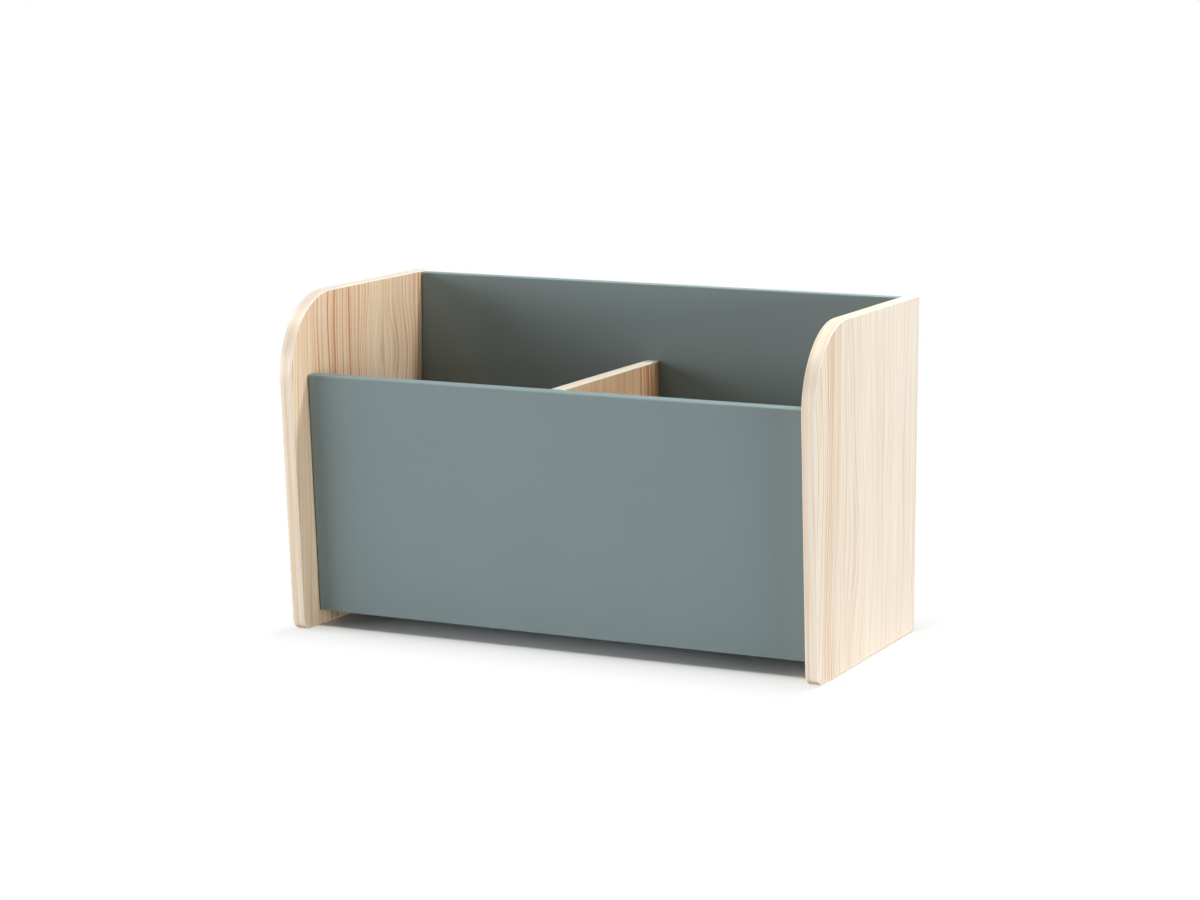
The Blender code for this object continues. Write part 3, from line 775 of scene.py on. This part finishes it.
class TOYCHEST_OT_sides(Operator):
    """Makes both side boards and the edging round them."""

    bl_idname = "toy_chest.sides"
    bl_label = "Side Panels"

    def execute(self, context):
        edges = context.scene.chest_edges
        colours = context.scene.chest_colours
        band_finish = larch_edging_finish(colours)
        inset = edges.band + edges.glue_line
        rear = CAD_HIGH.y
        top = CAD_HIGH.z
        board_run = [point for point, _ in side_run(edges, inset)]
        outline = [(rear - inset, inset), *board_run, (rear - inset, top - inset)]
        # Drawn in by a hair, because fine arcs bulge past the CAD's facets
        wrap_run = side_run(edges, TOLERANCE)
        toe_end = wrap_run[0][0].x
        runs = {
            "wrap": wrap_run + [(Vector((rear, top)), Vector((0, 1)))],
            "back": [(Vector((rear, z)), Vector((1, 0))) for z in (top - inset, inset)],
            "foot": [(Vector((y, 0)), Vector((0, -1))) for y in (rear, toe_end + edges.glue_line)],
        }
        for side in SIDES:
            low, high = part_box(side + "_side_panel")
            middle = (low.x + high.x) / 2
            larch = larch_print(
                f"larch_print_{side}", PLANKS[side + "_side"], low, high,
                colours.shaded_inner_ground, colours.shaded_inner_line, colours.lit_outer_ground, colours.lit_outer_line,
            )
            add_piece(f"{side}_side_board", prism(outline, low.x, high.x), larch,
                      side + "_side_panel", edges, bored=True)
            for place, run in runs.items():
                add_piece(f"{side}_side_{place}_edging", edging(run, middle, high.x - low.x, edges),
                          band_finish, f"{side}_side_{place}_band", edges)
        return {"FINISHED"}


class TOYCHEST_OT_uprights(Operator):
    """Makes the front and back boards with the edging on their upper and lower edges."""

    bl_idname = "toy_chest.uprights"
    bl_label = "Front and Back"

    def execute(self, context):
        edges = context.scene.chest_edges
        colours = context.scene.chest_colours
        face_finish = green_board_finish(colours)
        band_finish = green_finish("grey_green_abs_edging", colours.green_edging, BAND_ROUGHNESS)
        inset = Vector((0, 0, edges.band + edges.glue_line))
        for name, lean in (("front", edges.lean), ("back", 0.0)):
            node = name + "_panel"
            low, high = leaning_box(lean, node, node + "_top_band", node + "_bottom_band")
            low.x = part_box("left_side_panel")[1].x + edges.seam
            high.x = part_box("right_side_panel")[0].x - edges.seam
            board = block(low + inset, high - inset, upright, edges.rounding)
            add_piece(name + "_board", board, face_finish, node, edges, lean, bored=True)
            bands = {
                "top": (Vector((low.x, low.y, high.z - edges.band)), high, high.z - edges.band),
                "bottom": (low, Vector((high.x, high.y, low.z + edges.band)), low.z + edges.band),
            }
            for place, (start, end, glue_face) in bands.items():
                band = block(start, end, clear_of(glue_face), edges.rounding)
                add_piece(f"{name}_{place}_edging", band, band_finish, f"{node}_{place}_band",
                          edges, lean)
        return {"FINISHED"}


class TOYCHEST_OT_inside(Operator):
    """Makes the bottom and the divider with its edging."""

    bl_idname = "toy_chest.inside"
    bl_label = "Bottom and Divider"

    def execute(self, context):
        edges = context.scene.chest_edges
        colours = context.scene.chest_colours
        slope = math.tan(edges.lean)

        def section(low, high):
            """Outline of a board whose front end leans with the front panel."""
            toe = low.y + slope * (high.z - low.z)
            return [(toe, low.z), (high.y, low.z), (high.y, high.z), (low.y, high.z)]

        low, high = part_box("bottom_panel")
        add_piece("bottom_board", prism(section(low, high), low.x, high.x), green_board_finish(colours),
                  "bottom_panel", edges, bored=True)
        low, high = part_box("divider_panel")
        band_low, band_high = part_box("divider_top_band")
        # The board rises to a hairline under its edging, where the CAD leaves a wider gap
        rise = band_low.z - edges.glue_line - high.z
        high = Vector((high.x, high.y, high.z + rise))
        low = Vector((low.x, low.y - slope * rise, low.z))
        larch = larch_print("larch_print_divider", PLANKS["divider"], low, high, colours.shaded_divider_ground,
                            colours.shaded_divider_line)
        add_piece("divider_board", prism(section(low, high), low.x, high.x), larch,
                  "divider_panel", edges, bored=True)
        run = [(Vector((y, band_high.z)), Vector((0, 1))) for y in (band_low.y, band_high.y)]
        band = edging(run, (band_low.x + band_high.x) / 2, band_high.x - band_low.x, edges)
        add_piece("divider_top_edging", band, larch_edging_finish(colours),
                  "divider_top_band", edges)
        return {"FINISHED"}


class TOYCHEST_OT_fittings(Operator):
    """Gives the cam locks, bolts and dowels their finishes."""

    bl_idname = "toy_chest.fittings"
    bl_label = "Fittings"

    def execute(self, context):
        colours = context.scene.chest_colours
        zinc = cast_metal("zinc_die_casting", colours.zinc, ZINC_SKIN, ZINC_ROUGHNESS)
        steel = cast_metal("zinc_plated_steel", colours.steel, STEEL_SKIN, STEEL_ROUGHNESS)
        dress_nodes(fitting_nodes("cam_lock"), zinc)
        dress_nodes(fitting_nodes("cam_bolt"), steel)
        dress_nodes(fitting_nodes("dowel"), bare_beech(colours))
        return {"FINISHED"}


# Studio

FLOOR_REACH = 60.0


def seen_as_white(tree):
    """1 for rays that see a surface straight or mirrored, and 0 for rays that light the chest."""
    rays = add_node(tree, "LightPath").outputs
    seen = rays["Is Camera Ray"]
    for mirrored in ("Is Glossy Ray", "Is Transmission Ray"):
        seen = add_node(tree, "Math", seen, rays[mirrored], operation="MAXIMUM")
    return seen


def facing(azimuth, elevation):
    """Turn of a camera or lamp that faces the chest from so far to the right of the front and so high."""
    return Matrix.Rotation(azimuth, 3, "Z") @ Matrix.Rotation(math.pi / 2 - elevation, 3, "X")


class TOYCHEST_OT_studio(Operator):
    """Sets up the floor, the dim dome, the four softboxes and the camera."""

    bl_idname = "toy_chest.studio"
    bl_label = "Studio"

    def execute(self, context):
        scene = context.scene
        studio = scene.chest_studio
        self.lay_floor(studio)
        self.light_dome(scene, studio)
        for name in ("key", "side", "high"):
            turn = facing(getattr(studio, name + "_azimuth"), getattr(studio, name + "_elevation"))
            place = turn @ Vector((0, 0, studio.softbox_distance))
            size = (getattr(studio, name + "_width"), getattr(studio, name + "_height"))
            self.hang_softbox(scene, name + "_softbox", place, size, getattr(studio, name))
        over = Vector((studio.top_right, studio.top_back, studio.top_height))
        self.hang_softbox(scene, "top_softbox", over, (studio.top_size, studio.top_size), studio.top)
        self.place_camera(scene, studio)
        scene.view_settings.view_transform = "Standard"
        return {"FINISHED"}

    def lay_floor(self, studio):
        """A matt white floor that keeps the chest's shadow close by and is plain white farther off."""
        shape = bmesh.new()
        bmesh.ops.create_grid(shape, x_segments=2, y_segments=2, size=FLOOR_REACH)
        floor = mesh_object("studio_floor", shape)
        floor.location.z = CAD_LOW.z
        material = bpy.data.materials.new("white_studio_floor")
        material.use_nodes = True
        tree = material.node_tree
        tree.nodes.clear()
        node = partial(add_node, tree)
        foot_low = Vector((CAD_LOW.x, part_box("front_panel_bottom_band")[0].y, 0))
        foot_high = Vector((CAD_HIGH.x, CAD_HIGH.y, 0))
        # How far a point lies outside the chest's foot, where a step to the side counts several times
        steps_outside = (
            ("SUBTRACT", (foot_low + foot_high) / 2),
            ("ABSOLUTE",),
            ("SUBTRACT", (foot_high - foot_low) / 2),
            ("MAXIMUM", (0, 0, 0)),
            ("MULTIPLY", (studio.shadow_trim, 1, 1)),
            ("LENGTH",),
        )
        outside = node("TexCoord").outputs["Object"]
        for operation, *other in steps_outside:
            outside = node("VectorMath", outside, *other, operation=operation)
        far = node("MapRange", outside, 0.0, studio.floor_far)
        fade = node("Math", far, studio.shadow_fall, operation="POWER")
        lost = node("Math", fade, seen_as_white(tree), operation="MULTIPLY")
        matt = node("BsdfDiffuse", opaque(studio.floor))
        node("OutputMaterial", node("MixShader", lost, matt, node("Emission")))
        floor.data.materials.append(material)

    def light_dome(self, scene, studio):
        """A dim dome that lights the chest. What is seen of it, straight or mirrored, is white."""
        world = bpy.data.worlds.new("white_dome")
        world.use_nodes = True
        tree = world.node_tree
        strength = add_node(tree, "MapRange", seen_as_white(tree), inputs={"To Min": studio.dome})
        feed(tree.nodes["Background"], {"Color": (1, 1, 1, 1), "Strength": strength})
        scene.world = world

    def hang_softbox(self, scene, name, place, size, light):
        """A lamp of some width and height at a place from the chest's middle, which it faces."""
        lamp = bpy.data.lights.new(name, "AREA")
        lamp.shape = "RECTANGLE"
        lamp.size, lamp.size_y = size
        # With pi times the distance, squared, as its power, a small lamp shows white as full white
        lamp.energy = light * (math.pi * place.length) ** 2
        softbox = bpy.data.objects.new(name, lamp)
        softbox.location = CAD_MIDDLE + place
        softbox.rotation_euler = place.to_track_quat("Z", "Y").to_euler()
        softbox.visible_camera = False
        scene.collection.objects.link(softbox)

    def place_camera(self, scene, studio):
        turn = facing(studio.azimuth, studio.elevation)
        aim = CAD_MIDDLE + turn @ Vector((studio.aim_right, studio.aim_up, 0))
        camera = bpy.data.objects.new("studio_camera", bpy.data.cameras.new("studio_camera"))
        camera.data.lens = studio.lens
        camera.location = aim + turn @ Vector((0, 0, studio.distance))
        camera.rotation_euler = turn.to_euler()
        scene.collection.objects.link(camera)
        scene.camera = camera


class TOYCHEST_PT_looks(Panel):
    """The chest's edges, colours and studio, and what makes them."""

    bl_label = "Toy Chest"
    bl_idname = "TOYCHEST_PT_looks"
    bl_space_type = "VIEW_3D"
    bl_region_type = "UI"
    bl_category = "Toy Chest"

    def draw(self, context):
        for group in (context.scene.chest_edges, context.scene.chest_colours, context.scene.chest_studio):
            box = self.layout.box()
            for name in group.bl_rna.properties.keys():
                if name not in ("rna_type", "name"):
                    box.prop(group, name)
        for operator in OPERATORS:
            self.layout.operator(operator.bl_idname)


OPERATORS = (
    TOYCHEST_OT_sides, TOYCHEST_OT_uprights, TOYCHEST_OT_inside, TOYCHEST_OT_fittings, TOYCHEST_OT_studio,
)
GROUPS = {"chest_edges": ChestEdges, "chest_colours": ChestColours, "chest_studio": ChestStudio}
CLASSES = (*GROUPS.values(), *OPERATORS, TOYCHEST_PT_looks)


def register():
    for made in CLASSES:
        bpy.utils.register_class(made)
    for name, group in GROUPS.items():
        setattr(bpy.types.Scene, name, PointerProperty(type=group))


def unregister():
    for name in GROUPS:
        delattr(bpy.types.Scene, name)
    for made in reversed(CLASSES):
        bpy.utils.unregister_class(made)


def main():
    register()
    bpy.ops.toy_chest.sides()
    bpy.ops.toy_chest.uprights()
    bpy.ops.toy_chest.inside()
    bpy.ops.toy_chest.fittings()
    bpy.ops.toy_chest.studio()


if __name__ == "__main__":
    main()
